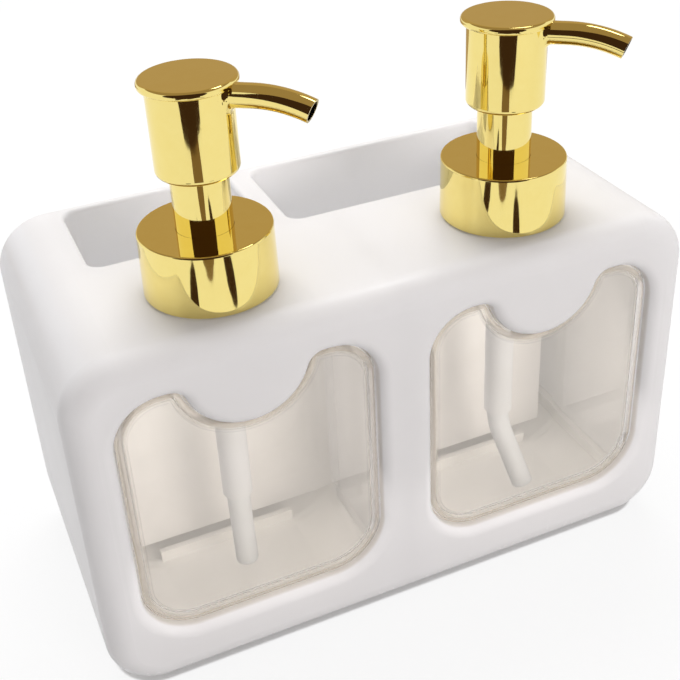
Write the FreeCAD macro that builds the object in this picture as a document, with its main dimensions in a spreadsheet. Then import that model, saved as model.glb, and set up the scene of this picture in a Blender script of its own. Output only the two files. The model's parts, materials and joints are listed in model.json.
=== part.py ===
import FreeCAD, Part
import math
import os
import types

import Sketcher

# Soap pump caddy: a white casing with two clear pump bottles behind two front windows
# and two open compartments behind the pumps. Lengths in millimetres, angles in degrees.
# The casing stands on the plane z = 0 with its front towards -Y, and z runs up.

SIZES = {
    # casing
    "casing_width": 194.2,
    "casing_depth": 95.9,
    "casing_height": 116.3,
    "casing_corner": 16.7,
    "front_edge_round": 7.3,
    "back_edge_round": 0.8,
    "front_wall": 4.0,
    "back_wall": 2.9,
    "side_wall": 5.0,
    "top_wall": 3.0,
    "inner_corner": 12.0,
    "partition_wall": 3.0,
    # windows in the front
    "window_side_margin": 12.2,
    "window_post": 16.6,
    "window_sill": 19.0,
    "window_top_margin": 13.7,
    "window_low_corner": 17.0,
    "window_dip_radius": 18.5,
    "window_dip_rise": 2.4,
    "window_horn_round": 5.0,
    "window_horn_flat": 2.0,
    "window_lip_round": 3.4,
    # compartments behind the pumps
    "pocket_side_margin": 21.8,
    "pocket_floor": 14.0,
    "pocket_wall": 2.5,
    "pocket_corner": 4.5,
    "pocket_floor_round": 3.0,
    "pocket_rim_round": 1.4,
    "divider_width": 7.9,
    "divider_offset": 16.55,
    # base cover, feet and screws
    "foot_radius": 6.0,
    "foot_height": 2.2,
    "foot_stand": 1.0,
    "foot_inset_x": 25.0,
    "foot_inset_y": 12.0,
    "cover_thickness": 3.0,
    "cover_lip_height": 5.0,
    "cover_lip_width": 2.9,
    "cover_gap": 0.2,
    "stop_rib_width": 2.0,
    "stop_rib_height": 5.0,
    "screw_radius": 1.5,
    "screw_length": 9.0,
    "screw_head_radius": 2.8,
    "screw_head_height": 1.6,
    "screw_slot_width": 0.8,
    "screw_slot_depth": 0.8,
    "screw_front_inset": 14.0,
    "screw_rear_inset": 23.0,
    "boss_radius": 4.0,
    "boss_height": 26.0,
    # bottles
    "bottle_depth": 43.4,
    "bottle_wall": 2.2,
    "bottle_overlap": 1.2,
    "bottle_gap": 0.35,
    "bottle_headroom": 0.7,
    "bottle_low_corner": 16.0,
    "bottle_top_corner": 12.0,
    "bottle_edge_round": 4.0,
    "bottle_shift_room": 3.2,
    "boss_recess": 3.2,
    "boss_edge_round": 1.6,
    "neck_radius": 12.4,
    "neck_bore": 10.4,
    "thread_radius": 1.0,
    "thread_pitch": 4.233,
    "thread_turns": 1.5,
    "thread_start": 1.3,
    "thread_gap": 0.35,
    # pump, fixed pieces
    "pump_offset": 1.7,
    "collar_height": 18.8,
    "collar_low_radius": 19.0,
    "collar_top_radius": 18.7,
    "collar_wall": 1.9,
    "collar_top_wall": 1.2,
    "collar_edge_round": 0.6,
    "collar_gap": 0.4,
    "closure_top_wall": 1.6,
    "closure_skirt_gap": 0.5,
    "seat_gap": 0.1,
    "turn_gap": 0.3,
    "fit_gap": 0.05,
    "sleeve_radius": 8.0,
    "sleeve_show": 16.3,
    "sleeve_cover": 1.5,
    "sleeve_flange_radius": 10.6,
    "sleeve_flange_height": 1.2,
    "sleeve_guide_height": 8.5,
    "sleeve_plug_height": 3.0,
    "gasket_thickness": 1.2,
    "housing_flange_radius": 12.6,
    "housing_flange_height": 1.5,
    "housing_wall": 1.4,
    "pump_bore": 6.5,
    "chamber_length": 40.0,
    "valve_bore": 3.2,
    "valve_length": 7.5,
    "seat_bore": 1.6,
    "ball_radius": 2.4,
    "tail_radius": 4.6,
    "tail_length": 41.0,
    "shoulder_length": 6.0,
    "tube_radius": 3.6,
    "tube_bore": 2.7,
    "tube_socket": 15.0,
    "tube_bend_radius": 30.0,
    "tube_floor_gap": 6.0,
    "tube_lean_left": 4.0,
    "tube_turn_left": 60.0,
    "tube_lean_right": 21.0,
    "tube_turn_right": -45.0,
    # pump, pressed pieces
    "stem_radius": 4.0,
    "stem_bore": 2.4,
    "stem_foot_radius": 5.2,
    "stem_foot_height": 1.4,
    "stem_stop_radius": 5.6,
    "stem_stop_height": 2.2,
    "piston_height": 5.7,
    "spring_radius": 4.4,
    "spring_wire": 0.5,
    "spring_turns": 7.0,
    "head_height": 26.2,
    "head_radius": 11.43,
    "head_wall": 2.0,
    "head_low_round": 1.5,
    "cap_radius": 13.16,
    "cap_height": 2.2,
    "cap_top_round": 1.1,
    "cap_low_round": 0.8,
    "core_floor": 2.6,
    "socket_wall": 2.0,
    "socket_length": 10.9,
    "socket_gap": 0.4,
    "spout_drop": 4.8,
    "spout_radius": 3.25,
    "spout_bore": 2.55,
    "spout_root": 5.0,
    "spout_rise": 3.0,
    "spout_straight": 17.4,
    "spout_bend_radius": 39.3,
    "spout_bend": 24.2,
    "spout_flare": 2.2,
    "spout_flare_length": 4.0,
    "spout_turn_left": 44.1,
    "spout_turn_right": 48.5,
}

doc = FreeCAD.newDocument("SoapPumpCaddy")
sheet = doc.addObject("Spreadsheet::Sheet", "Sizes")
for row, (alias, number) in enumerate(SIZES.items(), start=1):
    sheet.set(f"A{row}", alias)
    sheet.set(f"B{row}", str(number))
    sheet.setAlias(f"B{row}", alias)
doc.recompute()


class Size:
    """A length, an angle or a place, kept as a formula on the sheet's cells."""

    def __init__(self, formula):
        self.formula = str(formula)

    def join(self, sign, other):
        return Size(f"({self.formula} {sign} {as_size(other).formula})")

    def __add__(self, other):
        return self.join("+", other)

    def __sub__(self, other):
        return self.join("-", other)

    def __mul__(self, other):
        return self.join("*", other)

    def __truediv__(self, other):
        return self.join("/", other)

    def __neg__(self):
        return Size(f"(-1 * {self.formula})")

    @property
    def number(self):
        return float(sheet.evalExpression(self.formula))


def as_size(value):
    return value if isinstance(value, Size) else Size(value)


def root_of(value):
    return Size(f"sqrt({value.formula})")


def sine(value):
    return Size(f"sin({value.formula})")


def cosine(value):
    return Size(f"cos({value.formula})")


size = types.SimpleNamespace(**{alias: Size(f"Sizes.{alias}") for alias in SIZES})
ZERO = Size(0)
TOUCH = 1e-4
REACH = Size(1)
SIDES = {"left": -1, "right": 1}

# Places worked out from the driving sizes

half_width = size.casing_width / 2
half_depth = size.casing_depth / 2
front_face = -half_depth
back_face = half_depth
top_face = size.casing_height
casing_bottom = size.foot_stand
front_inner = front_face + size.front_wall
back_inner = back_face - size.back_wall
side_inner = half_width - size.side_wall
top_inner = top_face - size.top_wall
cover_top = casing_bottom + size.cover_thickness

window_outer = half_width - size.window_side_margin
window_half = (window_outer - size.window_post / 2) / 2
window_top = top_face - size.window_top_margin
horn_reach = root_of(
    (size.window_dip_radius + size.window_horn_round) * (size.window_dip_radius + size.window_horn_round)
    - (size.window_dip_rise + size.window_horn_round) * (size.window_dip_rise + size.window_horn_round)
)
window_high_corner = window_half - horn_reach - size.window_horn_flat

bottle_half = window_half + size.bottle_overlap
bottle_front = front_inner + size.bottle_gap
bottle_back = bottle_front + size.bottle_depth
bottle_top = top_inner - size.bottle_headroom
bottle_floor = cover_top + size.bottle_wall
boss_front = front_face + size.boss_recess

bay_back = bottle_back + size.bottle_shift_room
pocket_front = bay_back + size.pocket_wall
pocket_side = half_width - size.pocket_side_margin
divider_left = -size.divider_offset - size.divider_width / 2
divider_right = -size.divider_offset + size.divider_width / 2

pump_reach = window_outer - window_half
pump_y = bottle_front + size.bottle_depth / 2 + size.pump_offset

collar_top = top_face + size.collar_height
collar_bottom = top_face + size.collar_gap
collar_ceiling = collar_top - size.collar_top_wall
flange_top = collar_ceiling - size.seat_gap * 4
flange_bottom = flange_top - size.sleeve_flange_height
closure_top = flange_bottom - size.seat_gap
closure_ceiling = closure_top - size.closure_top_wall
housing_top = closure_ceiling - size.seat_gap
housing_flange_low = housing_top - size.housing_flange_height
neck_top = housing_flange_low - size.gasket_thickness - size.fit_gap
closure_bottom = collar_bottom + size.closure_skirt_gap
closure_radius = size.collar_top_radius - size.collar_wall
thread_crest = size.neck_radius + size.thread_radius
closure_bore = thread_crest + size.thread_gap
sleeve_boss = size.sleeve_radius - size.turn_gap
neck_hole = thread_crest + size.bottle_shift_room

spring_floor = housing_top - size.chamber_length
seat_top = spring_floor - size.valve_length
seat_low = seat_top - (size.valve_bore - size.seat_bore)
tail_top = spring_floor - size.housing_wall - size.shoulder_length
tail_low = tail_top - size.tail_length
tube_top = tail_low + size.tube_socket
ball_height = seat_low - size.seat_bore + (size.ball_radius + size.fit_gap) * root_of(Size(2))

plug_low = housing_top - size.sleeve_plug_height
stop_top = plug_low - size.seat_gap
stop_low = stop_top - size.stem_stop_height
piston_top = stop_low - size.fit_gap
piston_low = piston_top - size.piston_height
foot_top = piston_low - size.fit_gap
foot_low = foot_top - size.stem_foot_height

head_bottom = collar_top + size.sleeve_show
head_top = head_bottom + size.head_height
cap_low = head_top - size.cap_height
spout_height = head_top - size.spout_drop
core_low = spout_height - size.spout_radius - size.core_floor
socket_low = core_low - size.socket_length
socket_radius = size.stem_radius + size.socket_wall
stem_top = core_low
sleeve_top = head_bottom + size.sleeve_cover
sleeve_bore = socket_radius + size.socket_gap
guide_top = plug_low + size.sleeve_guide_height
core_radius = size.head_radius - size.head_wall


# Ways of building


def bind(item, **properties):
    for name, value in properties.items():
        item.setExpression(name, as_size(value).formula)


def place(item, x, y, z, rotation="rotation(0; 0; 0)"):
    base = f"vector({as_size(x).formula}; {as_size(y).formula}; {as_size(z).formula})"
    item.setExpression("Placement", f"placement({base}; {rotation})")


def turn_about_z(angle):
    return f"rotation(vector(0; 0; 1); {as_size(angle).formula})"


def box(name, x, y, z):
    """A box between two places on each axis."""
    item = doc.addObject("Part::Box", name)
    bind(item, Length=x[1] - x[0], Width=y[1] - y[0], Height=z[1] - z[0])
    place(item, x[0], y[0], z[0])
    return item


def cylinder(name, radius, x, y, z):
    """An upright cylinder between two heights."""
    item = doc.addObject("Part::Cylinder", name)
    bind(item, Radius=radius, Height=z[1] - z[0])
    place(item, x, y, z[0])
    return item


def cut(name, base, *tools):
    tool = tools[0] if len(tools) == 1 else fuse(name + "_tools", *tools)
    item = doc.addObject("Part::Cut", name)
    item.Base = base
    item.Tool = tool
    return item


def fuse(name, *pieces):
    item = doc.addObject("Part::MultiFuse", name)
    item.Shapes = list(pieces)
    return item


def threaded(name, piece, thread):
    """Joins a wound thread to its piece and keeps every face that the thread leaves."""
    item = fuse(name, piece, thread)
    item.Refine = False
    return item


def round_edges(name, base, *groups):
    """Rounds edges of a shape: each group is a test of an edge's box and a radius."""
    doc.recompute()
    item = doc.addObject("Part::Fillet", name)
    item.Base = base
    edges = []
    for test, radius in groups:
        for number, edge in enumerate(base.Shape.Edges, start=1):
            if test(edge.BoundBox):
                edges.append((number, radius.number, radius.number))
    item.Edges = edges
    return item


def runs_along_y(bounds):
    return bounds.XLength < TOUCH and bounds.ZLength < TOUCH and bounds.YLength > TOUCH


def runs_along_z(bounds):
    return bounds.XLength < TOUCH and bounds.YLength < TOUCH and bounds.ZLength > TOUCH


def lies_on(axis, value):
    """A test for edges that lie whole in the plane where an axis has a value."""
    place_on_axis = value.number

    def test(bounds):
        low = getattr(bounds, axis + "Min")
        high = getattr(bounds, axis + "Max")
        return abs(low - place_on_axis) < TOUCH and abs(high - place_on_axis) < TOUCH

    return test


def both(*tests):
    return lambda bounds: all(test(bounds) for test in tests)


def beyond(axis, value):
    """A test for edges that start past a value on an axis."""
    limit = value.number
    return lambda bounds: getattr(bounds, axis + "Min") > limit - TOUCH


def before(axis, value):
    limit = value.number
    return lambda bounds: getattr(bounds, axis + "Max") < limit + TOUCH


def plane_of(body, role):
    return next(feature for feature in body.Origin.OriginFeatures if feature.Role == role)


def sketch_on(body, role, name):
    sketch = body.newObject("Sketcher::SketchObject", name)
    sketch.AttachmentSupport = (plane_of(body, role), [""])
    sketch.MapMode = "FlatFace"
    return sketch


def dimension(sketch, kind, name, value, *geometry):
    """A named dimension of a sketch, bound to the sheet."""
    number = sketch.addConstraint(Sketcher.Constraint(kind, *geometry, value.number))
    sketch.renameConstraint(number, name)
    sketch.setExpression("Constraints." + name, value.formula)


def locate(sketch, name, geometry, point, across, up):
    """Fixes a point of a sketch, on one of the sketch's axes where across or up is zero."""
    if across is ZERO:
        sketch.addConstraint(Sketcher.Constraint("PointOnObject", geometry, point, -2))
    else:
        dimension(sketch, "DistanceX", name + "_across", across, -1, 1, geometry, point)
    if up is ZERO:
        sketch.addConstraint(Sketcher.Constraint("PointOnObject", geometry, point, -1))
    else:
        dimension(sketch, "DistanceY", name + "_up", up, -1, 1, geometry, point)


def turned(name, profile, x, y, angle=ZERO):
    """A piece turned about an upright axis from a closed outline of radii and heights."""
    body = doc.addObject("PartDesign::Body", name)
    sketch = sketch_on(body, "XZ_Plane", name + "_outline")
    corners = [FreeCAD.Vector(radius.number, height.number, 0) for radius, height in profile]
    count = len(corners)
    for index in range(count):
        sketch.addGeometry(Part.LineSegment(corners[index], corners[(index + 1) % count]))
    for index in range(count):
        sketch.addConstraint(Sketcher.Constraint("Coincident", index, 2, (index + 1) % count, 1))
    for index, (radius, height) in enumerate(profile):
        locate(sketch, f"corner{index}", index, 1, radius, height)
    revolution = body.newObject("PartDesign::Revolution", name + "_turn")
    revolution.Profile = sketch
    revolution.ReferenceAxis = (sketch, ["V_Axis"])
    revolution.Angle = 360
    place(body, x, y, ZERO, turn_about_z(angle))
    return body


def round_rings(body, radius, *rings):
    """Rounds the round edges of a turned piece at the given radii and heights."""
    doc.recompute()
    tip = body.Tip
    edges = []
    for number, edge in enumerate(tip.Shape.Edges, start=1):
        if not isinstance(edge.Curve, Part.Circle):
            continue
        for ring_radius, ring_height in rings:
            same_radius = abs(edge.Curve.Radius - ring_radius.number) < TOUCH
            if same_radius and abs(edge.Curve.Center.z - ring_height.number) < TOUCH:
                edges.append(f"Edge{number}")
    fillet = body.newObject("PartDesign::Fillet", body.Name + "_round")
    fillet.Base = (tip, edges)
    bind(fillet, Radius=radius)
    return body


def ring_outline(body, role, name, offset, height, outer, inner):
    """Two rings on a plane, the start of a hollow tube."""
    sketch = sketch_on(body, role, name)
    sketch.setExpression("AttachmentOffset.Base.z", offset.formula)
    centre = FreeCAD.Vector(0, height.number, 0)
    for index, radius in enumerate((outer, inner)):
        sketch.addGeometry(Part.Circle(centre, FreeCAD.Vector(0, 0, 1), radius.number))
        dimension(sketch, "Radius", f"radius{index}", radius, index)
        sketch.addConstraint(Sketcher.Constraint("PointOnObject", index, 3, -2))
        if height is ZERO:
            sketch.addConstraint(Sketcher.Constraint("PointOnObject", index, 3, -1))
        else:
            dimension(sketch, "DistanceY", f"height{index}", height, -1, 1, index, 3)
    return sketch


def pipe(body, name, outline, spine):
    tube = body.newObject("PartDesign::AdditivePipe", name)
    tube.Profile = outline
    tube.Spine = spine
    return tube


def biarc(start, start_way, end, end_way):
    """Two arcs that leave one point and reach another along given directions."""
    span = end - start
    ways = start_way + end_way
    bend = 2 * (1 - start_way.dot(end_way))
    reach = (math.sqrt(span.dot(ways) ** 2 + bend * span.dot(span)) - span.dot(ways)) / bend
    middle = (start + start_way * reach + end - end_way * reach) * 0.5
    return [arc_from(start, start_way, middle), arc_from(end, end_way * -1, middle)]


def arc_from(start, way, end):
    """The arc that leaves a point along a direction and ends at another point."""
    chord = end - start
    across = chord - way * chord.dot(way)
    across.normalize()
    radius = chord.dot(chord) / (2 * across.dot(chord))
    centre = start + across * radius
    outward = (start - centre) + (end - centre)
    outward.normalize()
    return Part.Arc(start, centre + outward * radius, end).toShape()


def coil(name, radius, wire, pitch, turns, low, x, y, first_angle=0.0):
    """A round wire wound upwards about an upright axis, in quarter turns."""
    quarters = round(turns * 4)
    lead = pitch / (2 * math.pi)

    def point(angle):
        around = angle + first_angle
        return FreeCAD.Vector(radius * math.cos(around), radius * math.sin(around), low + lead * angle)

    def way(angle):
        around = angle + first_angle
        along = FreeCAD.Vector(-radius * math.sin(around), radius * math.cos(around), lead)
        along.normalize()
        return along

    edges = []
    for quarter in range(quarters):
        start = quarter * math.pi / 2
        end = start + math.pi / 2
        edges += biarc(point(start), way(start), point(end), way(end))
    section = Part.Wire(Part.makeCircle(wire, point(0.0), way(0.0)))
    item = doc.addObject("Part::Feature", name)
    item.Shape = Part.Wire(Part.sortEdges(edges)[0]).makePipeShell([section], True, False)
    place(item, x, y, ZERO)
    samples = [point(2 * math.pi * step / 48) for step in range(int(turns * 48))]
    apart = [
        (samples[one] - samples[two]).Length
        for one in range(len(samples))
        for two in range(one + 24, len(samples))
    ]
    print(name, "least gap between turns", round(min(apart) - 2 * wire, 3), "mm")
    return item


def spout_cylinder(name, radius, start, end, x, angle):
    """A cylinder on the spout's root line, which leaves the pump's axis and rises a little."""
    item = doc.addObject("Part::Cylinder", name)
    bind(item, Radius=radius, Height=end - start)
    away = start * cosine(size.spout_rise)
    height = spout_height + start * sine(size.spout_rise)
    tilt = Size(90) - size.spout_rise
    way = f"rotation({(-angle).formula}; {tilt.formula}; 0)"
    place(item, x + away * cosine(angle), pump_y - away * sine(angle), height, way)
    return item


# Casing, cover, feet and screws


def casing_block():
    """The casing's outer form, with its rounded corners and its soft front edge."""
    block = box("casing_block", (-half_width, half_width), (front_face, back_face), (casing_bottom, top_face))
    cornered = round_edges("casing_cornered", block, (runs_along_y, size.casing_corner))
    doc.recompute()
    return round_edges(
        "casing_outer",
        cornered,
        (lies_on("Y", front_face), size.front_edge_round),
        (lies_on("Y", back_face), size.back_edge_round),
    )


def window_prism(name, x, inset, y):
    """A window's outline drawn in by an inset: a rounded panel with a round dip in its top."""
    half = window_half - inset
    low = size.window_sill + inset
    high = window_top - inset
    panel = box(name + "_panel", (x - half, x + half), y, (low, high))
    cornered = round_edges(
        name + "_cornered",
        panel,
        (both(runs_along_y, lies_on("Z", low)), size.window_low_corner - inset),
        (both(runs_along_y, lies_on("Z", high)), window_high_corner - inset),
    )
    dip = doc.addObject("Part::Cylinder", name + "_dip")
    bind(dip, Radius=size.window_dip_radius + inset, Height=y[1] - y[0] + REACH * 2)
    place(dip, x, y[0] - REACH, window_top + size.window_dip_rise, "rotation(vector(1; 0; 0); -90)")
    dipped = cut(name + "_dipped", cornered, dip)
    doc.recompute()
    horns = both(runs_along_y, lies_on("Z", high), beyond("X", x - horn_reach), before("X", x + horn_reach))
    return round_edges(name, dipped, (horns, size.window_horn_round - inset))


def pocket(name, left, right):
    """A compartment with rounded corners and floor, open at the top."""
    heights = (size.pocket_floor, top_face + REACH)
    hollow = box(name + "_hollow", (left, right), (pocket_front, back_inner), heights)
    cornered = round_edges(name + "_cornered", hollow, (runs_along_z, size.pocket_corner))
    doc.recompute()
    return round_edges(name, cornered, (lies_on("Z", size.pocket_floor), size.pocket_floor_round))


def screw_places():
    """Cover screws: one at the front between the bottles and one behind each bottle's side."""
    rear = back_face - size.screw_rear_inset
    side = pocket_side + size.pocket_wall + size.boss_radius / 2
    return {
        "front": (ZERO, front_face + size.screw_front_inset),
        "left": (-side, rear),
        "right": (side, rear),
    }


def windowed_block(outer):
    """The outer form with its two windows and their rounded lips, made as one half and its mirror image."""
    half = doc.addObject("Part::Common", "casing_left_half")
    half.Base = outer
    half.Tool = box(
        "casing_left_side",
        (-half_width - REACH, ZERO),
        (front_face - REACH, back_face + REACH),
        (casing_bottom - REACH, top_face + REACH),
    )
    window = window_prism("left_window", -pump_reach, ZERO, (front_face - REACH, front_inner + REACH))
    lip_edges = both(
        lies_on("Y", front_face),
        beyond("Z", size.window_sill - size.fit_gap),
        before("Z", window_top + size.fit_gap),
        beyond("X", -window_outer - size.fit_gap),
        before("X", -size.window_post / 4),
    )
    left_open = cut("casing_left_open", half, window)
    left = round_edges("casing_left_lip", left_open, (lip_edges, size.window_lip_round))
    right = doc.addObject("Part::Mirroring", "casing_right_lip")
    right.Source = left
    right.Normal = FreeCAD.Vector(1, 0, 0)
    return fuse("casing_windowed", left, right)


def make_casing(outer):
    hollow = box(
        "casing_hollow",
        (-side_inner, side_inner),
        (front_inner, back_inner),
        (casing_bottom - REACH, top_inner),
    )
    high_edges = both(runs_along_y, lies_on("Z", top_inner))
    rounded = round_edges("casing_hollow_round", hollow, (high_edges, size.inner_corner))
    block_side = pocket_side + size.pocket_wall
    block = box(
        "pocket_block",
        (-block_side, block_side),
        (bay_back, back_face),
        (size.pocket_floor - size.pocket_wall, top_face),
    )
    shell = cut("casing_shell", windowed_block(outer), cut("casing_room", rounded, block))
    boss_low = cover_top + size.fit_gap
    ribs = [
        box(
            "partition",
            (-size.partition_wall / 2, size.partition_wall / 2),
            (front_inner - REACH, bay_back + REACH),
            (boss_low, top_inner + REACH),
        )
    ]
    pilots = []
    for name, (x, y) in screw_places().items():
        ribs.append(cylinder("boss_" + name, size.boss_radius, x, y, (boss_low, boss_low + size.boss_height)))
        pilot_end = casing_bottom + size.screw_length + size.screw_head_height + REACH * 2
        pilots.append(
            cylinder("pilot_" + name, size.screw_radius + size.fit_gap, x, y, (boss_low - REACH, pilot_end))
        )
    ribbed = fuse("casing_ribbed", shell, *ribs)
    holes = [
        pocket("left_pocket", -pocket_side, divider_left),
        pocket("right_pocket", divider_right, pocket_side),
    ]
    for side, sign in SIDES.items():
        x = pump_reach * sign
        holes.append(
            cylinder(side + "_neck_hole", neck_hole, x, pump_y, (top_inner - REACH, top_face + REACH))
        )
    open_casing = cut("casing_open", ribbed, *holes, *pilots)
    pocket_rims = both(
        lies_on("Z", top_face),
        beyond("Y", pocket_front - size.fit_gap),
        before("Y", back_inner + size.fit_gap),
        beyond("X", -pocket_side - size.fit_gap),
        before("X", pocket_side + size.fit_gap),
    )
    return round_edges("casing", open_casing, (pocket_rims, size.pocket_rim_round))


def foot_places():
    x = half_width - size.foot_inset_x
    y = half_depth - size.foot_inset_y
    return {
        "front_left": (-x, -y),
        "front_right": (x, -y),
        "rear_left": (-x, y),
        "rear_right": (x, y),
    }


def make_cover(outer):
    """The cover closes the casing's underside, carries the bottles and stops them from behind."""
    side = side_inner - size.cover_gap
    front = front_inner + size.cover_gap
    back = back_inner - size.cover_gap
    lip_top = cover_top + size.cover_lip_height
    slab = box("cover_slab", (-side, side), (front, back), (casing_bottom, lip_top))
    formed = doc.addObject("Part::Common", "cover_formed")
    formed.Base = outer
    formed.Tool = slab
    tray_side = side - size.cover_lip_width
    tray_heights = (cover_top, lip_top + REACH)
    tray = box("cover_tray", (-tray_side, tray_side), (front - REACH, back + REACH), tray_heights)
    lipped = cut("cover_lipped", formed, tray)
    rib_front = bottle_back + size.cover_gap
    ribs = []
    for side_name, sign in SIDES.items():
        x = pump_reach * sign
        half = bottle_half - size.bottle_low_corner
        ribs.append(
            box(
                side_name + "_stop_rib",
                (x - half, x + half),
                (rib_front, rib_front + size.stop_rib_width),
                (cover_top - size.cover_thickness / 2, cover_top + size.stop_rib_height),
            )
        )
    ribbed = fuse("cover_ribbed", lipped, *ribs)
    holes = []
    head_seat = casing_bottom + size.screw_head_height + size.cover_gap
    for name, (x, y) in screw_places().items():
        holes.append(
            cylinder("clear_" + name, size.screw_radius + size.cover_gap, x, y, (ZERO, cover_top + REACH))
        )
        holes.append(
            cylinder("sink_" + name, size.screw_head_radius + size.cover_gap, x, y, (ZERO, head_seat))
        )
    for name, (x, y) in foot_places().items():
        seat_radius = size.foot_radius + size.fit_gap
        holes.append(cylinder("foot_seat_" + name, seat_radius, x, y, (ZERO, size.foot_height)))
    return cut("base_cover", ribbed, *holes)


def make_screw(name, x, y):
    """A screw with a round head and a cross slot, driven from below."""
    head_low = casing_bottom + size.cover_gap
    head_high = head_low + size.screw_head_height
    body = turned(
        f"screw_body_{name}",
        [
            (ZERO, head_low),
            (size.screw_head_radius, head_low),
            (size.screw_head_radius, head_high),
            (size.screw_radius, head_high),
            (size.screw_radius, head_high + size.screw_length),
            (ZERO, head_high + size.screw_length),
        ],
        x,
        y,
    )
    half_slot = size.screw_slot_width / 2
    arm = size.screw_head_radius * 0.6
    depth = (head_low - REACH, head_low + size.screw_slot_depth)
    slots = [
        box(f"slot_across_{name}", (x - arm, x + arm), (y - half_slot, y + half_slot), depth),
        box(f"slot_along_{name}", (x - half_slot, x + half_slot), (y - arm, y + arm), depth),
    ]
    return cut(f"cover_screw_{name}", body, *slots)


# Bottles


def bottle_block(name, x, inset):
    """The bottle's body drawn in by an inset."""
    half = bottle_half - inset
    low = cover_top + inset
    high = bottle_top - inset
    front = bottle_front + inset
    back = bottle_back - inset
    block = box(name + "_block", (x - half, x + half), (front, back), (low, high))
    cornered = round_edges(
        name + "_cornered",
        block,
        (both(runs_along_y, lies_on("Z", low)), size.bottle_low_corner - inset),
        (both(runs_along_y, lies_on("Z", high)), size.bottle_top_corner - inset),
    )
    doc.recompute()
    edge = size.bottle_edge_round - inset / 2
    return round_edges(name, cornered, (lies_on("Y", front), edge), (lies_on("Y", back), edge))


def boss_prism(name, x, inset):
    """The bottle's front boss, which fills the window, drawn in by an inset."""
    front = boss_front + inset
    depth = (front, bottle_front + size.bottle_wall * 2)
    prism = window_prism(name + "_prism", x, size.bottle_gap + inset, depth)
    doc.recompute()
    return round_edges(name, prism, (lies_on("Y", front), size.boss_edge_round - inset / 2))


def make_bottle(side, x):
    neck_low = bottle_top - size.bottle_wall * 2
    outer = fuse(
        side + "_bottle_outer",
        bottle_block(side + "_bottle_body", x, ZERO),
        boss_prism(side + "_bottle_boss", x, ZERO),
        cylinder(side + "_neck", size.neck_radius, x, pump_y, (neck_low, neck_top)),
    )
    inner = fuse(
        side + "_bottle_inner",
        bottle_block(side + "_bottle_room", x, size.bottle_wall),
        boss_prism(side + "_boss_room", x, size.bottle_wall),
        cylinder(side + "_neck_bore", size.neck_bore, x, pump_y, (neck_low - REACH, neck_top + REACH)),
    )
    hollow = cut(side + "_bottle_hollow", outer, inner)
    thread = coil(
        side + "_neck_thread",
        size.neck_radius.number,
        size.thread_radius.number,
        size.thread_pitch.number,
        size.thread_turns.number,
        (closure_bottom + size.thread_start).number,
        x,
        pump_y,
        first_angle=math.pi,
    )
    return threaded(side + "_bottle", hollow, thread)


# Pump pieces that stay with the bottle


def make_gasket(side, x):
    inner = size.pump_bore + size.housing_wall + size.fit_gap
    low = housing_flange_low - size.gasket_thickness
    profile = [
        (inner, low),
        (size.housing_flange_radius, low),
        (size.housing_flange_radius, housing_flange_low),
        (inner, housing_flange_low),
    ]
    return turned(side + "_neck_gasket", profile, x, pump_y)


def make_housing(side, x):
    """The pump's cylinder with its flange, its ball seat and the socket of the dip tube."""
    barrel = size.pump_bore + size.housing_wall
    profile = [
        (size.pump_bore, housing_top),
        (size.housing_flange_radius, housing_top),
        (size.housing_flange_radius, housing_flange_low),
        (barrel, housing_flange_low),
        (barrel, tail_top + size.shoulder_length),
        (size.tail_radius, tail_top),
        (size.tail_radius, tail_low),
        (size.tube_radius + size.fit_gap, tail_low),
        (size.tube_radius + size.fit_gap, tube_top),
        (size.seat_bore, tube_top),
        (size.seat_bore, seat_low),
        (size.valve_bore, seat_top),
        (size.valve_bore, spring_floor),
        (size.pump_bore, spring_floor),
    ]
    return turned(side + "_pump_housing", profile, x, pump_y)


def make_dip_tube(side, x):
    """A tube that leaves the housing straight down and then leans towards the bottle's edge."""
    lean = getattr(size, "tube_lean_" + side)
    body = doc.addObject("PartDesign::Body", side + "_dip_tube")
    spine = sketch_on(body, "XZ_Plane", side + "_tube_route")
    bend = size.tube_bend_radius
    bend_x = bend - bend * cosine(lean)
    bend_z = tail_low - bend * sine(lean)
    end_z = bottle_floor + size.tube_floor_gap
    end_x = bend_x + (bend_z - end_z) * sine(lean) / cosine(lean)
    upright = [FreeCAD.Vector(0, tube_top.number, 0), FreeCAD.Vector(0, tail_low.number, 0)]
    slanted = [FreeCAD.Vector(bend_x.number, bend_z.number, 0), FreeCAD.Vector(end_x.number, end_z.number, 0)]
    centre = FreeCAD.Vector(bend.number, tail_low.number, 0)
    circle = Part.Circle(centre, FreeCAD.Vector(0, 0, 1), bend.number)
    spine.addGeometry(Part.LineSegment(*upright))
    spine.addGeometry(Part.ArcOfCircle(circle, math.pi, math.pi + math.radians(lean.number)))
    spine.addGeometry(Part.LineSegment(*slanted))
    locate(spine, "top", 0, 1, ZERO, tube_top)
    locate(spine, "turn", 0, 2, ZERO, tail_low)
    spine.addConstraint(Sketcher.Constraint("Tangent", 0, 2, 1, 1))
    spine.addConstraint(Sketcher.Constraint("Tangent", 1, 2, 2, 1))
    dimension(spine, "Radius", "bend", bend, 1)
    locate(spine, "end", 2, 2, end_x, end_z)
    outline = ring_outline(
        body, "XY_Plane", side + "_tube_section", tube_top, ZERO, size.tube_radius, size.tube_bore
    )
    pipe(body, side + "_tube_pipe", outline, spine)
    place(body, x, pump_y, ZERO, turn_about_z(getattr(size, "tube_turn_" + side)))
    return body


def make_ball(side, x):
    ball = doc.addObject("Part::Sphere", side + "_check_ball")
    bind(ball, Radius=size.ball_radius)
    place(ball, x, pump_y, ball_height)
    return ball


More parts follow.
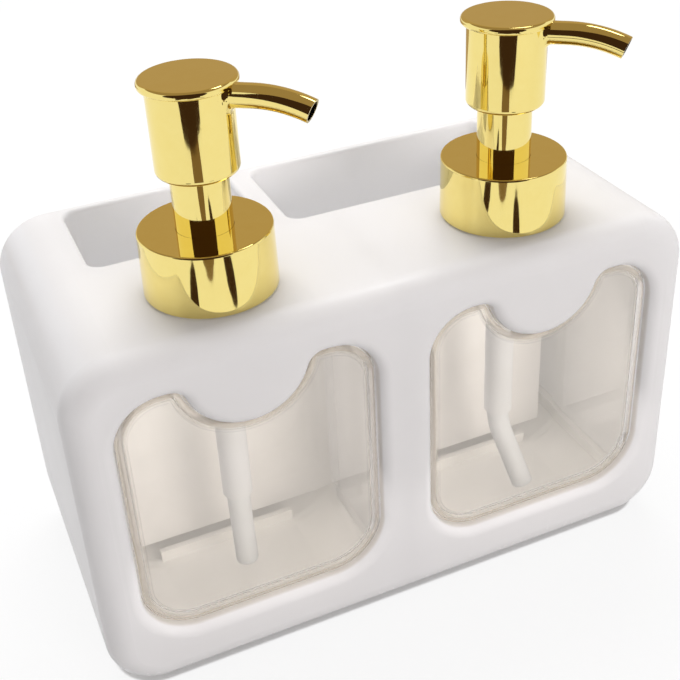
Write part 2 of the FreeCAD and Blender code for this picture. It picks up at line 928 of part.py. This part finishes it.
def make_sleeve(side, x):
    """The plated sleeve: plugged into the housing, it holds the closure and guides the stem."""
    guide = size.stem_radius + size.fit_gap
    profile = [
        (guide, plug_low),
        (size.pump_bore, plug_low),
        (size.pump_bore, housing_top),
        (sleeve_boss, housing_top),
        (sleeve_boss, flange_bottom),
        (size.sleeve_flange_radius, flange_bottom),
        (size.sleeve_flange_radius, flange_top),
        (size.sleeve_radius, flange_top),
        (size.sleeve_radius, sleeve_top),
        (sleeve_bore, sleeve_top),
        (sleeve_bore, guide_top),
        (guide, guide_top),
    ]
    return turned(side + "_neck_sleeve", profile, x, pump_y)


# Closure and collar, which unscrew together


def make_closure(side, x):
    profile = [
        (closure_bore, closure_bottom),
        (closure_radius, closure_bottom),
        (closure_radius, closure_top),
        (sleeve_boss + size.turn_gap, closure_top),
        (sleeve_boss + size.turn_gap, closure_ceiling),
        (closure_bore, closure_ceiling),
    ]
    cap = turned(side + "_closure_cap", profile, x, pump_y)
    thread = coil(
        side + "_closure_thread",
        closure_bore.number,
        size.thread_radius.number,
        size.thread_pitch.number,
        size.thread_turns.number,
        (closure_bottom + size.thread_start).number,
        x,
        pump_y,
    )
    return threaded(side + "_closure", cap, thread)


def make_collar(side, x):
    hole = size.sleeve_radius + size.fit_gap
    profile = [
        (closure_radius, collar_bottom),
        (size.collar_low_radius, collar_bottom),
        (size.collar_top_radius, collar_top),
        (hole, collar_top),
        (hole, collar_ceiling),
        (closure_radius, collar_ceiling),
    ]
    body = turned(side + "_collar_shell", profile, x, pump_y)
    edges = [(size.collar_top_radius, collar_top), (size.collar_low_radius, collar_bottom)]
    return round_rings(body, size.collar_edge_round, *edges)


# Pieces that go down with the head


def make_piston(side, x):
    inner = size.stem_radius + size.fit_gap
    outer = size.pump_bore - size.fit_gap
    profile = [(inner, piston_low), (outer, piston_low), (outer, piston_top), (inner, piston_top)]
    return turned(side + "_piston", profile, x, pump_y)


def make_stem(side, x):
    """A hollow stem with a foot on the spring and a stop above the piston."""
    profile = [
        (size.stem_bore, foot_low),
        (size.stem_foot_radius, foot_low),
        (size.stem_foot_radius, foot_top),
        (size.stem_radius, foot_top),
        (size.stem_radius, stop_low),
        (size.stem_stop_radius, stop_low),
        (size.stem_stop_radius, stop_top),
        (size.stem_radius, stop_top),
        (size.stem_radius, stem_top),
        (size.stem_bore, stem_top),
    ]
    return turned(side + "_plunger_stem", profile, x, pump_y)


def make_spring(side, x):
    low = spring_floor + size.spring_wire
    high = foot_low - size.spring_wire
    turns = size.spring_turns.number
    pitch = (high.number - low.number) / turns
    return coil(
        side + "_return_spring",
        size.spring_radius.number,
        size.spring_wire.number,
        pitch,
        turns,
        low.number,
        x,
        pump_y,
    )


def spout_hole(name, x, angle):
    """The hole that the spout's root is pressed into, out to past the cap's edge."""
    radius = size.spout_radius + size.fit_gap
    return spout_cylinder(name, radius, size.spout_root, size.cap_radius + REACH, x, angle)


def make_core(side, x, angle):
    """The head's core: a socket for the stem and the channel from it to the spout."""
    profile = [
        (ZERO, spout_height),
        (size.stem_bore, spout_height),
        (size.stem_bore, stem_top),
        (size.stem_radius, stem_top),
        (size.stem_radius, socket_low),
        (socket_radius, socket_low),
        (socket_radius, core_low),
        (core_radius, core_low),
        (core_radius, cap_low),
        (ZERO, cap_low),
    ]
    body = turned(side + "_core_body", profile, x, pump_y)
    channel = spout_cylinder(side + "_channel", size.stem_bore, ZERO, size.spout_root, x, angle)
    seat = spout_hole(side + "_spout_seat", x, angle)
    return cut(side + "_head_core", body, channel, seat)


def make_head_shell(side, x, angle):
    profile = [
        (core_radius, head_bottom),
        (size.head_radius, head_bottom),
        (size.head_radius, cap_low),
        (core_radius, cap_low),
    ]
    body = turned(side + "_shell_body", profile, x, pump_y)
    round_rings(body, size.head_low_round, (size.head_radius, head_bottom))
    return cut(side + "_head_shell", body, spout_hole(side + "_shell_hole", x, angle))


def make_cap(side, x, angle):
    profile = [(ZERO, cap_low), (size.cap_radius, cap_low), (size.cap_radius, head_top), (ZERO, head_top)]
    body = turned(side + "_cap_body", profile, x, pump_y)
    round_rings(body, size.cap_top_round, (size.cap_radius, head_top))
    round_rings(body, size.cap_low_round, (size.cap_radius, cap_low))
    return cut(side + "_head_cap", body, spout_hole(side + "_cap_groove", x, angle))


def spout_tube(side, x, angle):
    """The spout's tube leaves the head, rises a little and bends down towards its open end."""
    body = doc.addObject("PartDesign::Body", side + "_spout_tube")
    spine = sketch_on(body, "XZ_Plane", side + "_spout_route")
    bend = size.spout_bend_radius
    end_x = size.spout_straight + bend * sine(size.spout_bend)
    level = [FreeCAD.Vector(size.spout_root.number, 0, 0), FreeCAD.Vector(size.spout_straight.number, 0, 0)]
    centre = FreeCAD.Vector(size.spout_straight.number, -bend.number, 0)
    circle = Part.Circle(centre, FreeCAD.Vector(0, 0, 1), bend.number)
    first = math.pi / 2 - math.radians(size.spout_bend.number)
    spine.addGeometry(Part.LineSegment(*level))
    spine.addGeometry(Part.ArcOfCircle(circle, first, math.pi / 2))
    locate(spine, "root", 0, 1, size.spout_root, ZERO)
    locate(spine, "turn", 0, 2, size.spout_straight, ZERO)
    spine.addConstraint(Sketcher.Constraint("Tangent", 0, 2, 1, 2))
    dimension(spine, "Radius", "bend", bend, 1)
    dimension(spine, "DistanceX", "end", end_x, -1, 1, 1, 1)
    outline = ring_outline(
        body, "YZ_Plane", side + "_spout_section", size.spout_root, ZERO, size.spout_radius, size.spout_bore
    )
    pipe(body, side + "_spout_pipe", outline, spine)
    place(body, x, pump_y, spout_height, f"rotation({(-angle).formula}; {(-size.spout_rise).formula}; 0)")
    return body


def spout_flare(side, x, angle):
    """The soft ring that widens the spout where it stands on the head's wall, below the cap."""
    head = cylinder(side + "_flare_head", size.head_radius, x, pump_y, (head_bottom, head_top + REACH))
    end = size.head_radius + size.spout_flare_length
    stub = spout_cylinder(side + "_flare_stub", size.spout_radius, size.spout_root, end, x, angle)
    joined = fuse(side + "_flare_joined", head, stub)
    across = size.spout_radius.number * 2
    edge_reach = size.head_radius.number + TOUCH

    def on_wall(bounds):
        away = math.hypot(bounds.Center.x - x.number, bounds.Center.y - pump_y.number)
        return abs(bounds.ZLength - across) < across / 8 and away < edge_reach

    soft = round_edges(side + "_flare_soft", joined, (on_wall, size.spout_flare))
    cap = cylinder(side + "_flare_cap", size.cap_radius, x, pump_y, (cap_low, head_top + REACH * 2))
    bore = spout_cylinder(side + "_flare_bore", size.spout_bore, ZERO, end + REACH, x, angle)
    return cut(side + "_flare", soft, head, cap, bore)


def make_spout(side, x, angle):
    return fuse(side + "_spout", spout_tube(side, x, angle), spout_flare(side, x, angle))


def make_pump(side, sign):
    x = pump_reach * sign
    angle = getattr(size, "spout_turn_" + side)
    return [
        make_bottle(side, x),
        make_gasket(side, x),
        make_housing(side, x),
        make_dip_tube(side, x),
        make_ball(side, x),
        make_sleeve(side, x),
        make_closure(side, x),
        make_collar(side, x),
        make_piston(side, x),
        make_stem(side, x),
        make_spring(side, x),
        make_core(side, x, angle),
        make_head_shell(side, x, angle),
        make_cap(side, x, angle),
        make_spout(side, x, angle),
    ]


def make_all():
    outer = casing_block()
    pieces = [make_casing(outer), make_cover(outer)]
    pieces += [make_screw(name, x, y) for name, (x, y) in screw_places().items()]
    for name, (x, y) in foot_places().items():
        pieces.append(cylinder("foot_" + name, size.foot_radius, x, y, (ZERO, size.foot_height)))
    for side, sign in SIDES.items():
        pieces += make_pump(side, sign)
    return pieces


pieces = make_all()
doc.recompute()
faults = [item.Name for item in doc.Objects if "Invalid" in item.State or "Error" in item.State]
faults += [piece.Name for piece in pieces if piece.Shape.isNull() or not piece.Shape.isValid()]
faults += [piece.Name for piece in pieces if len(piece.Shape.Solids) != 1]
if faults:
    raise RuntimeError("failed pieces: " + ", ".join(faults))
os.makedirs("parts", exist_ok=True)
for piece in pieces:
    piece.Label = piece.Name
    piece.Shape.exportStep(f"parts/{piece.Label}.step")
    print(piece.Label, "volume", round(piece.Shape.Volume, 1))
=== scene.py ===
"""Looks of the soap pump caddy: a white moulded casing, clear bottles and mirror gold pumps.

Everything is in metres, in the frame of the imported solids: the front looks towards -Y and z runs up.
"""

import json
import math

import bmesh
import bpy
from mathutils import Matrix, Vector


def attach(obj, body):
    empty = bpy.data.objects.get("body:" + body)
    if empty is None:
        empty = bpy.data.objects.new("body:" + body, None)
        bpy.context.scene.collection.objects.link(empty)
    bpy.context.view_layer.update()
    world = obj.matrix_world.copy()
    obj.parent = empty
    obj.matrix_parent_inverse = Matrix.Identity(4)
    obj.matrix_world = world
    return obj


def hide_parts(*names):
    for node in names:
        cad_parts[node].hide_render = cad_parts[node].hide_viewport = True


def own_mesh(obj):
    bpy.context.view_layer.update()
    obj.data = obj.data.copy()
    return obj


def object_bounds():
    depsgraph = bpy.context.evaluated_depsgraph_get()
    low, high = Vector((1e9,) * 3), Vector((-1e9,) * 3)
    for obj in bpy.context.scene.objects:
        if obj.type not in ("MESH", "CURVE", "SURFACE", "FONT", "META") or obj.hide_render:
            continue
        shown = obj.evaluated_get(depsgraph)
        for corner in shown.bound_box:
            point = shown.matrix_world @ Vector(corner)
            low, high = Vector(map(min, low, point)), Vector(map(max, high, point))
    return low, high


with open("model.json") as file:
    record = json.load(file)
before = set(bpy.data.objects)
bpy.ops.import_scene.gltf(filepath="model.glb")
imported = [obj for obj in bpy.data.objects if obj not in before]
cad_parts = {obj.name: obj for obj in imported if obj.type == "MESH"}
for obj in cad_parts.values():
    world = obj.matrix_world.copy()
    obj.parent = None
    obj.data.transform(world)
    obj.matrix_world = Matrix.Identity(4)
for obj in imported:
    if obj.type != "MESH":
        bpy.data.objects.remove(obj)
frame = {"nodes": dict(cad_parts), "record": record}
cad_low, cad_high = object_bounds()

SIDES = (("left", -1), ("right", 1))

# Outline of a bottle's front boss, which fills its window; the two mirror each other in x
WINDOW_X = 0.0466
WINDOW_HALF = 0.03795
WINDOW_LOW = 0.01935
WINDOW_HIGH = 0.10225
WINDOW_MIDDLE = (WINDOW_LOW + WINDOW_HIGH) / 2
WINDOW_LOW_CORNER = 0.01665
WINDOW_HIGH_CORNER = 0.01365
DIP_Z = 0.105
DIP_RADIUS = 0.01885

# Spans of y at a window, each from where a mask is 0 to where it is 1
LIP_BEGINS = (-0.0468, -0.046)
LIP_ENDS = (-0.0434, -0.0437)
BOSS_FRONT = (-0.0436, -0.0441)
BOSS_ROOT = (-0.0416, -0.0421)

# Spans of the inset from the boss's outline, in the same way
LIP_BESIDE_BOSS = (-0.0009, -0.0003)
RIM_WIDTH = (0.0036, 0.0016)
RIM_LINE_INSET = 0.0033
RIM_LINE_WIDTH = (0.0002, 0.0001)


# Shader maths


class Tone:
    """A value, colour or vector inside a node tree; Python's operators add the nodes."""

    def __init__(self, nodes, socket):
        self.nodes = nodes
        self.socket = socket

    def __add__(self, other):
        return self.nodes.math("ADD", self, other)

    def __radd__(self, other):
        return self.nodes.math("ADD", other, self)

    def __sub__(self, other):
        return self.nodes.math("SUBTRACT", self, other)

    def __rsub__(self, other):
        return self.nodes.math("SUBTRACT", other, self)

    def __mul__(self, other):
        return self.nodes.math("MULTIPLY", self, other)

    def __rmul__(self, other):
        return self.nodes.math("MULTIPLY", other, self)

    def __abs__(self):
        return self.nodes.math("ABSOLUTE", self)


class Nodes:
    """A node tree of a finish, of the floor or of the studio's surroundings."""

    def __init__(self, tree):
        self.tree = tree
        tree.nodes.clear()

    def node(self, kind, settings=None, sockets=None, out=0):
        """Adds any node: its settings first, then the values or links of its sockets."""
        made = self.tree.nodes.new(kind)
        for name, value in (settings or {}).items():
            setattr(made, name, value)
        for name, value in (sockets or {}).items():
            if isinstance(value, Tone):
                self.tree.links.new(value.socket, made.inputs[name])
            else:
                made.inputs[name].default_value = value
        return Tone(self, made.outputs[out]) if made.outputs else None

    def math(self, operation, first, second=0.0):
        return self.node("ShaderNodeMath", {"operation": operation}, {0: first, 1: second})

    def larger(self, first, second):
        return self.math("MAXIMUM", first, second)

    def smaller(self, first, second):
        return self.math("MINIMUM", first, second)

    def distance(self, first, second):
        return self.math("SQRT", first * first + second * second)

    def between(self, value, low, high):
        """Goes smoothly from 0 to 1 while the value goes from low to high."""
        settings = {"interpolation_type": "SMOOTHSTEP", "clamp": True}
        return self.node("ShaderNodeMapRange", settings, {"Value": value, "From Min": low, "From Max": high})

    def where(self):
        return self.node("ShaderNodeTexCoord", out="Object")

    def part(self, place, axis):
        return self.node("ShaderNodeSeparateXYZ", {}, {"Vector": place}, axis)

    def cloud(self, place, scale, detail=2.0, rough=0.5):
        sockets = {"Vector": place, "Scale": scale, "Detail": detail, "Roughness": rough}
        return self.node("ShaderNodeTexNoise", {}, sockets)

    def mix(self, share, first, second):
        """A colour between two colours."""
        return self.node("ShaderNodeMix", {"data_type": "RGBA"}, {0: share, 6: first, 7: second}, 2)

    def bump(self, strength, distance, height):
        sockets = {"Strength": strength, "Distance": distance, "Height": height}
        return self.node("ShaderNodeBump", {}, sockets)

    def surface(self, sockets):
        return self.node("ShaderNodeBsdfPrincipled", {}, sockets)

    def glow(self, colour):
        return self.node("ShaderNodeEmission", {}, {"Color": colour, "Strength": 1.0})

    def blend(self, share, first, second):
        """A shader between two shaders."""
        return self.node("ShaderNodeMixShader", {}, {0: share, 1: first, 2: second})

    def ray(self, kind):
        return self.node("ShaderNodeLightPath", out=kind)

    def seen_directly(self):
        """1 for what the eye, a mirror or clear plastic shows, 0 for light that falls on surfaces."""
        straight = self.larger(self.ray("Is Camera Ray"), self.ray("Is Transmission Ray"))
        return self.larger(straight, self.ray("Is Glossy Ray"))

    def show(self, shader):
        self.node("ShaderNodeOutputMaterial", {}, {"Surface": shader})


def srgb(*parts):
    """A solid colour given as 0 to 255 parts, in the renderer's linear values."""
    values = [part / 255 for part in parts]
    return (*(v / 12.92 if v <= 0.04045 else ((v + 0.055) / 1.055) ** 2.4 for v in values), 1.0)


WHITE = (1.0, 1.0, 1.0, 1.0)


def new_finish(name):
    material = bpy.data.materials.new(name)
    material.use_nodes = True
    return material, Nodes(material.node_tree)


# Finishes


def boss_inset(nodes, place):
    """How far a place at a window lies inside the outline of the bottle's front boss."""
    x, z = nodes.part(place, "X"), nodes.part(place, "Z")
    across = abs(abs(x) - WINDOW_X)
    above = z - WINDOW_MIDDLE
    in_upper_half = nodes.math("GREATER_THAN", above, 0.0)
    corner = WINDOW_LOW_CORNER + in_upper_half * (WINDOW_HIGH_CORNER - WINDOW_LOW_CORNER)
    beyond_side = across - WINDOW_HALF + corner
    beyond_top = abs(above) - (WINDOW_HIGH - WINDOW_LOW) / 2 + corner
    round_corner = nodes.distance(nodes.larger(beyond_side, 0.0), nodes.larger(beyond_top, 0.0))
    straight = nodes.smaller(nodes.larger(beyond_side, beyond_top), 0.0)
    panel = corner - round_corner - straight
    dip = nodes.distance(across, z - DIP_Z) - DIP_RADIUS
    return nodes.smaller(panel, dip)


def white_casing_finish():
    """Glossy white moulding that lets some light through its walls.

    It is a little scuffed at its foot. On the inner part of the window lips, beside the bottles, a tan
    painted shade stands in for the shaded recess there.
    """
    material, nodes = new_finish("white_casing_gloss")
    place = nodes.where()
    drift = nodes.cloud(place, 22.0, 3.0)
    pebble = nodes.cloud(place, 1400.0, 2.0)
    scuff = nodes.between(nodes.cloud(place, 420.0, 5.0, 0.65), 0.58, 0.74)
    low = 1 - nodes.between(nodes.part(place, "Z"), 0.002, 0.012)
    worn = scuff * low
    clean = nodes.mix(nodes.between(drift, 0.3, 0.7), srgb(251, 250, 250), srgb(253, 252, 252))
    scuffed = nodes.mix(worn * 0.3, clean, srgb(222, 219, 216))
    inset, depth = boss_inset(nodes, place), nodes.part(place, "Y")
    # Painted shade: a tan tint on the inner part of the window lips, beside the bottles, for the shaded
    # recess
    beside_boss = nodes.between(inset, *LIP_BESIDE_BOSS) * nodes.between(depth, *LIP_ENDS)
    painted_lip_shade = beside_boss * nodes.between(depth, *LIP_BEGINS)
    glossy = nodes.surface(
        {
            "Base Color": nodes.mix(painted_lip_shade * 0.8, scuffed, srgb(206, 195, 178)),
            "Roughness": 0.22 + drift * 0.06 + worn * 0.25,
            "Specular IOR Level": 0.5,
            "Normal": nodes.bump(0.03, 0.00001, pebble),
        }
    )
    inside = nodes.node("ShaderNodeBsdfTranslucent", {}, {"Color": srgb(252, 252, 253)})
    nodes.show(nodes.blend(0.28, glossy, inside))
    return material


def gold_finish():
    """Mirror gold plating on a moulding, with the faint waves of the plastic under it."""
    material, nodes = new_finish("mirror_gold_plating")
    place = nodes.where()
    wave = nodes.cloud(place, 95.0, 1.5)
    haze = nodes.cloud(place, 260.0, 4.0, 0.6)
    fleck = nodes.between(nodes.cloud(place, 900.0, 3.0), 0.62, 0.78)
    plating = nodes.surface(
        {
            "Base Color": nodes.mix(haze, srgb(240, 219, 134), srgb(244, 226, 146)),
            "Metallic": 1.0,
            "Roughness": 0.035 + haze * 0.03 + fleck * 0.04,
            "Normal": nodes.bump(0.06, 0.0006, wave),
        }
    )
    nodes.show(plating)
    return material


def clear_bottle_finish():
    """Clear moulded plastic; the front of its boss is a little hazy. A tan painted shade along the boss's
    edge, with a thin painted dark stroke inside it, stands in for the shaded recess and the edge's
    refraction seen through the thick plastic.

    Mirrored light passes straight through it.
    """
    material, nodes = new_finish("clear_bottle_plastic")
    place = nodes.where()
    flow = nodes.cloud(place, 38.0, 2.0)
    smear = nodes.between(nodes.cloud(place, 120.0, 4.0, 0.6), 0.5, 0.8)
    inset, depth = boss_inset(nodes, place), nodes.part(place, "Y")
    on_boss = nodes.between(depth, *BOSS_ROOT)
    # Painted shade: a tan band along the boss's edge and a thin dark stroke inside it, for the shaded recess
    # and the edge's refraction
    rim_shade = nodes.between(inset, *RIM_WIDTH) * on_boss
    shade_line = nodes.between(abs(inset - RIM_LINE_INSET), *RIM_LINE_WIDTH) * on_boss
    haze = nodes.between(depth, *BOSS_FRONT) * flow
    clear = nodes.surface(
        {
            "Base Color": nodes.mix(flow, srgb(254, 251, 246), srgb(252, 249, 242)),
            "Roughness": 0.01 + smear * 0.03,
            "IOR": 1.49,
            "Transmission Weight": 1.0,
        }
    )
    rim_shade_colour = nodes.mix(smear, srgb(206, 194, 174), srgb(198, 186, 166))
    milky_and_shade_colour = nodes.mix(rim_shade, srgb(240, 235, 227), rim_shade_colour)
    milky_and_shade = nodes.surface(
        {
            "Base Color": nodes.mix(shade_line, milky_and_shade_colour, srgb(128, 120, 106)),
            "Roughness": 0.1 + smear * 0.05,
        }
    )
    milky_and_shade_share = nodes.larger(haze * 0.04, nodes.larger(rim_shade * 0.42, shade_line * 0.15))
    cloudy_and_shaded = nodes.blend(milky_and_shade_share, clear, milky_and_shade)
    through = nodes.node("ShaderNodeBsdfTransparent", {}, {"Color": WHITE})
    nodes.show(nodes.blend(nodes.ray("Is Reflection Ray"), cloudy_and_shaded, through))
    return material


def moulded_finish(name, light, shade, rough, grain_scale=600.0, grain_depth=0.00003, metal=0.0, clear=0.0):
    """A moulded, rubber or drawn piece: two near tones, a grain and an uneven gloss."""
    material, nodes = new_finish(name)
    place = nodes.where()
    drift = nodes.cloud(place, 45.0, 3.0)
    grain = nodes.cloud(place, grain_scale, 3.0, 0.6)
    moulding = nodes.surface(
        {
            "Base Color": nodes.mix(nodes.between(drift, 0.3, 0.7), shade, light),
            "Metallic": metal,
            "Transmission Weight": clear,
            "Roughness": rough + grain * 0.1,
            "Normal": nodes.bump(0.2, grain_depth, grain),
        }
    )
    nodes.show(moulding)
    return material


finishes = {
    "white_casing": white_casing_finish(),
    "gold_plating": gold_finish(),
    "clear_bottle": clear_bottle_finish(),
    "white_plastic": moulded_finish("white_pump_plastic", srgb(251, 250, 249), srgb(247, 246, 244), 0.35),
    "tube_plastic": moulded_finish(
        "milky_tube_plastic", srgb(247, 247, 246), srgb(240, 240, 238), 0.28, clear=0.35
    ),
    "seal_rubber": moulded_finish("pale_seal_rubber", srgb(222, 221, 218), srgb(212, 211, 208), 0.6),
    "foot_rubber": moulded_finish("grey_foot_rubber", srgb(158, 157, 155), srgb(140, 139, 137), 0.7),
    "steel": moulded_finish(
        "drawn_steel", srgb(205, 206, 208), srgb(188, 189, 192), 0.2, 1500.0, 0.00001, metal=1.0
    ),
}
for subpart in frame["record"]["subparts"]:
    piece = frame["nodes"][subpart["node"]]
    piece.data.materials.clear()
    piece.data.materials.append(finishes[subpart["material_slot"]])
    if subpart["material_slot"] == "clear_bottle":
        # Left out of shadows and light bounces, so that light enters the bays through the bottles
        piece.visible_diffuse = False
        piece.visible_shadow = False


# Return springs: smooth copies of the spring solids; the real springs shorten between their seat and the
# piston while a head is pressed


def make_return_spring(side):
    """A smooth copy of a spring's solid, which rides with its pump unit and takes the solid's place."""
    node = frame["nodes"][side + "_return_spring"]
    form = bmesh.new()
    form.from_mesh(node.data)
    bmesh.ops.remove_doubles(form, verts=form.verts, dist=0.000001)
    for face in form.faces:
        face.smooth = True
    mesh = bpy.data.meshes.new(side + "_coiled_spring")
    form.to_mesh(mesh)
    form.free()
    mesh.materials.append(finishes["steel"])
    spring = bpy.data.objects.new(mesh.name, mesh)
    bpy.context.scene.collection.objects.link(spring)
    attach(spring, side + "_pump_unit")
    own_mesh(spring)
    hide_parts(node.name)


for side, _ in SIDES:
    make_return_spring(side)


# Floor, light and camera


CAMERA_PLACE = Vector((-0.1166, -0.2852, 0.2757))
CAMERA_TARGET = Vector((0.000523, 0.000633, 0.093529))
CAMERA_ROLL = -0.054
CAMERA_LENS = 59.8
CAMERA_SHIFT = -60 / 680

CARD_DARK = srgb(60, 42, 32)
CARD_TAN = srgb(186, 163, 128)
CARD_SHADE = srgb(128, 106, 80)
CARD_CEILING = srgb(160, 140, 112)

# How much of the floor's look is plain white: in general, far away and under the casing's lower edge
FLOOR_WHITE = 0.87
FAR_WHITE = 1.0
EDGE_WHITE = 0.1
FAR_AWAY = (0.3, 1.2)
UNDER_EDGE = (-0.0022, -0.0034)
FOOTPRINT_CORNER = 0.0167

WARM = (1.0, 0.965, 0.958)
COOL = (0.985, 0.99, 1.0)
AMBIENT = 0.35

BAY_FILL_Y = -0.0405
BAY_FILL_AIM = Vector((0.0, 0.1, -0.09))


def stage_piece(name, form, material):
    """A piece of the studio, which isn't part of the caddy."""
    mesh = bpy.data.meshes.new(name)
    form.to_mesh(mesh)
    form.free()
    mesh.materials.append(material)
    piece = bpy.data.objects.new(name, mesh)
    bpy.context.scene.collection.objects.link(piece)
    return piece


def make_floor():
    """A plain pale floor, white to the eye, that keeps the caddy's shadow."""
    form = bmesh.new()
    bmesh.ops.create_circle(form, cap_ends=True, segments=96, radius=2.5)
    bmesh.ops.translate(form, verts=form.verts, vec=(0, 0, -0.0002))
    material, nodes = new_finish("pale_floor")
    grain = nodes.cloud(nodes.where(), 60.0, 3.0)
    pale = nodes.mix(grain, srgb(250, 250, 250), srgb(252, 252, 252))
    plain = nodes.surface(
        {
            "Base Color": nodes.mix(nodes.seen_directly(), srgb(156, 156, 156), pale),
            "Roughness": 0.7,
            "Specular IOR Level": 0.1,
        }
    )
    across, along = (abs(nodes.part(nodes.where(), axis)) for axis in "XY")
    far = nodes.between(nodes.distance(across, along), *FAR_AWAY)
    beside = nodes.larger(across - (cad_high[0] - FOOTPRINT_CORNER), 0.0)
    before = nodes.larger(along - (cad_high[1] - FOOTPRINT_CORNER), 0.0)
    under = nodes.between(nodes.distance(beside, before) - FOOTPRINT_CORNER, *UNDER_EDGE)
    white_share = FLOOR_WHITE + far * (FAR_WHITE - FLOOR_WHITE) - under * (FLOOR_WHITE - EDGE_WHITE)
    nodes.show(nodes.blend(nodes.seen_directly() * white_share, plain, nodes.glow(WHITE)))
    stage_piece("floor", form, material)


def make_card(name, place, wide, tall, colour):
    """An oval card that only the plating mirrors; wide and tall are its half axes."""
    form = bmesh.new()
    bmesh.ops.create_circle(form, cap_ends=True, segments=64, radius=1.0)
    spread = Matrix((wide, tall, wide.cross(tall))).transposed().to_4x4()
    bmesh.ops.transform(form, verts=form.verts, matrix=Matrix.Translation(place) @ spread)
    material, nodes = new_finish(name)
    through = nodes.node("ShaderNodeBsdfTransparent")
    behind_plastic = nodes.math("GREATER_THAN", nodes.ray("Transmission Depth"), 0.5)
    nodes.show(nodes.blend(behind_plastic, nodes.glow(colour), through))
    card = stage_piece(name, form, material)
    card.visible_camera = False
    card.visible_diffuse = False
    card.visible_transmission = False
    card.visible_shadow = False


def make_cards():
    """Dark ones by the camera, tan ones behind and overhead: the tones of the plating's reflections."""
    ahead = Vector((CAMERA_PLACE.x, CAMERA_PLACE.y, 0.0)).normalized()
    aside = Vector((-ahead.y, ahead.x, 0.0))
    up = Vector((0.0, 0.0, 1.0))
    make_card("dark_front_card", ahead * 0.42 + up * 0.38, aside * 0.38, up * 0.42, CARD_DARK)
    make_card("front_floor_shade", ahead * 0.42 + up * 0.0004, aside * 0.075, ahead * 0.13, CARD_SHADE)
    make_card("dark_left_card", ahead * 0.42 - aside * 0.25 + up * 0.4, aside * 0.26, up * 0.32, CARD_DARK)
    for side, way in SIDES:
        place = ahead * 0.25 + aside * way * 0.125 + up * 0.0006
        make_card(side + "_floor_strip", place, aside * 0.026, ahead * 0.05, CARD_DARK)
    make_card("tan_back_card", ahead * -0.8 + aside * 0.1 + up * 0.7, aside * 1.0, up * 0.55, CARD_TAN)
    make_card("tan_back_floor", ahead * -0.85 + up * 0.0006, aside * 1.2, ahead * 0.45, CARD_TAN)
    make_card("ceiling_card", up * 1.2, aside * 1.4, ahead * 1.4, CARD_CEILING)


def make_camera():
    """The camera that was fitted to the photograph."""
    forward = (CAMERA_TARGET - CAMERA_PLACE).normalized()
    level = forward.cross(Vector((0, 0, 1))).normalized()
    above = level.cross(forward)
    cosine, sine = math.cos(CAMERA_ROLL), math.sin(CAMERA_ROLL)
    right = level * cosine + above * sine
    up = above * cosine - level * sine
    data = bpy.data.cameras.new("photo_camera")
    data.lens = CAMERA_LENS
    data.sensor_width = 36.0
    data.shift_y = CAMERA_SHIFT
    data.clip_start = 0.01
    camera = bpy.data.objects.new("photo_camera", data)
    turn = Matrix((right, up, -forward)).transposed().to_4x4()
    camera.matrix_world = Matrix.Translation(CAMERA_PLACE) @ turn
    bpy.context.scene.collection.objects.link(camera)
    bpy.context.scene.camera = camera


def make_surroundings():
    """White to the eye, in mirrors and through clear plastic, and softly lit all round."""
    world = bpy.data.worlds.new("studio")
    bpy.context.scene.world = world
    world.use_nodes = True
    nodes = Nodes(world.node_tree)
    soft = nodes.node("ShaderNodeBackground", {}, {"Color": (*WARM, 1.0), "Strength": AMBIENT})
    white = nodes.node("ShaderNodeBackground", {}, {"Color": WHITE, "Strength": 1.0})
    nodes.node("ShaderNodeOutputWorld", {}, {"Surface": nodes.blend(nodes.seen_directly(), soft, white)})


def make_lamp(name, place, target, width, depth, power, colour=WARM, mirrored=False):
    """A soft lamp, which only the plating may show, and only if it is mirrored."""
    data = bpy.data.lights.new(name, "AREA")
    data.shape = "RECTANGLE"
    data.size = width
    data.size_y = depth
    data.energy = power
    data.color = colour
    lamp = bpy.data.objects.new(name, data)
    lamp.visible_glossy = mirrored
    lamp.visible_camera = False
    lamp.visible_transmission = False
    lamp.location = place
    lamp.rotation_euler = (Vector(target) - Vector(place)).to_track_quat("-Z", "Y").to_euler()
    bpy.context.scene.collection.objects.link(lamp)
    return lamp


def make_bay_fill():
    """The light that white walls pass on to each other in the two bays behind the windows.

    Each lamp lights only the nodes of its part of the bays, and only the first of them shades it.
    """
    lit_nodes = {"wall": ("casing", "left_dip_tube", "right_dip_tube"), "floor": ("base_cover",)}
    for part, names in lit_nodes.items():
        lit = bpy.data.collections.new(f"bay_{part}_lit")
        shading = bpy.data.collections.new(f"bay_{part}_shading")
        shading.objects.link(frame["nodes"][names[0]])
        for name in names:
            lit.objects.link(frame["nodes"][name])
        for side, way in SIDES:
            place = Vector((way * WINDOW_X, BAY_FILL_Y, WINDOW_MIDDLE))
            lamp = make_lamp(
                f"{side}_bay_{part}_fill", place, place + BAY_FILL_AIM, width=0.066, depth=0.07, power=0.0125
            )
            lamp.light_linking.receiver_collection = lit
            lamp.light_linking.blocker_collection = shading


make_floor()
make_cards()
make_camera()
make_surroundings()
make_lamp("back_softbox", (0.1, 0.55, 0.9), (0.0, 0.0, 0.1), width=0.9, depth=0.7, power=9.3, colour=COOL)
make_lamp("right_softbox", (0.3, -0.98, 0.28), (0.0, 0.0, 0.06), width=0.5, depth=0.4, power=5.1)
make_lamp("left_softbox", (-0.9, 0.25, 0.35), (0.0, 0.0, 0.06), width=0.5, depth=0.5, power=0.9)
make_lamp(
    "window_light",
    (0.42, 0.22, 0.98),
    (0.0, 0.0, 0.15),
    width=0.3,
    depth=0.16,
    power=0.75,
    colour=COOL,
    mirrored=True,
)
make_bay_fill()

bpy.context.scene.view_settings.view_transform = "Standard"
